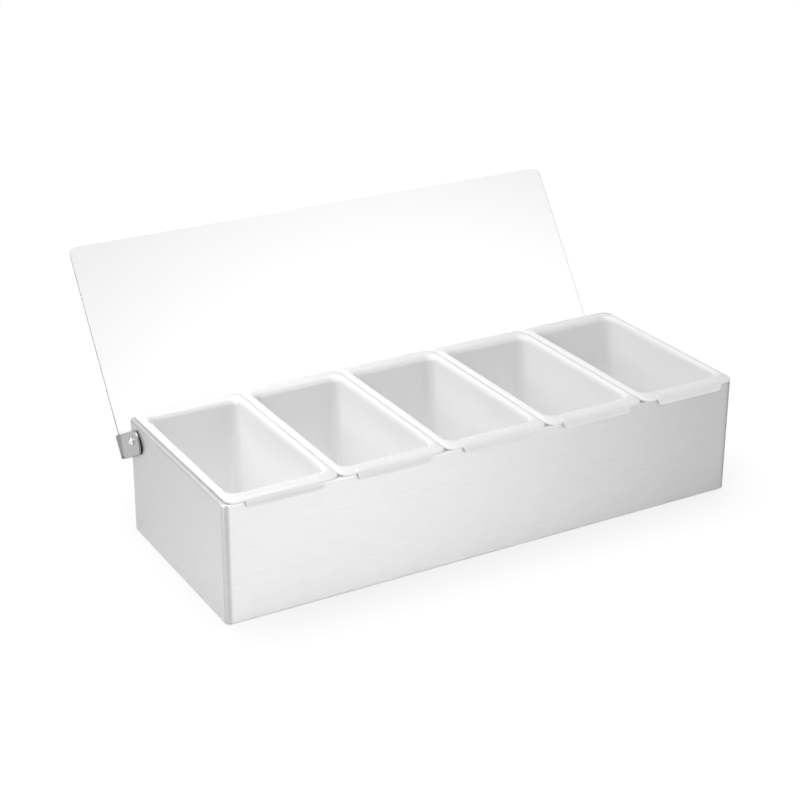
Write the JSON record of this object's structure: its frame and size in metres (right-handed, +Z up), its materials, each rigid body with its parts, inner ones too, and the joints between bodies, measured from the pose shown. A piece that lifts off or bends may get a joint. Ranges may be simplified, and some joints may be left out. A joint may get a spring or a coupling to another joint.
{
  "type": "condiment caddy",
  "caption": "Brushed steel bar-top condiment box with a row of lift-out white plastic pans and one clear hinged lid standing open.",
  "frame": {"origin": "centre of the underside of the box, on the surface it stands on", "axes": "+X along the row of pans to the right, +Y to the back where the lid is hinged, +Z up"},
  "size_m": [0.4858, 0.3042, 0.2117],
  "materials": {
    "brushed_stainless": "fine brushed along the long side",
    "satin_stainless": "satin",
    "polished_stainless": "polished",
    "white_polypropylene": "semi-gloss moulded",
    "clear_polycarbonate": "clear gloss"
  },
  "bodies": {
    "box": {"wall_band": "brushed_stainless", "floor_plate": "brushed_stainless", "left_pivot_rivet": "polished_stainless", "right_pivot_rivet": "polished_stainless", "left_pivot_spacer": "polished_stainless", "right_pivot_spacer": "polished_stainless", "left_pivot_washer": "polished_stainless", "right_pivot_washer": "polished_stainless"},
    "lid": {"lid_sheet": "clear_polycarbonate", "left_ear": "satin_stainless", "right_ear": "satin_stainless", "left_lid_rivets": "polished_stainless", "right_lid_rivets": "polished_stainless", "left_lid_washers": "polished_stainless", "right_lid_washers": "polished_stainless"},
    "pan_1": {"pan_1": "white_polypropylene"},
    "pan_2": {"pan_2": "white_polypropylene"},
    "pan_3": {"pan_3": "white_polypropylene"},
    "pan_4": {"pan_4": "white_polypropylene"},
    "pan_5": {"pan_5": "white_polypropylene"}
  },
  "joints": [
    {"name": "lid_hinge", "type": "hinge", "parent": "box", "child": "lid", "pos_m": [0, 0.0795, 0.0852], "axis": [-1, 0, 0], "range_deg": [-129.8, 0]},
    {"name": "pan_1_lift", "type": "slide", "parent": "box", "child": "pan_1", "axis": [0, 0, 1], "range_m": [0, 0.11]},
    {"name": "pan_2_lift", "type": "slide", "parent": "box", "child": "pan_2", "axis": [0, 0, 1], "range_m": [0, 0.11]},
    {"name": "pan_3_lift", "type": "slide", "parent": "box", "child": "pan_3", "axis": [0, 0, 1], "range_m": [0, 0.11]},
    {"name": "pan_4_lift", "type": "slide", "parent": "box", "child": "pan_4", "axis": [0, 0, 1], "range_m": [0, 0.11]},
    {"name": "pan_5_lift", "type": "slide", "parent": "box", "child": "pan_5", "axis": [0, 0, 1], "range_m": [0, 0.11]}
  ]
}
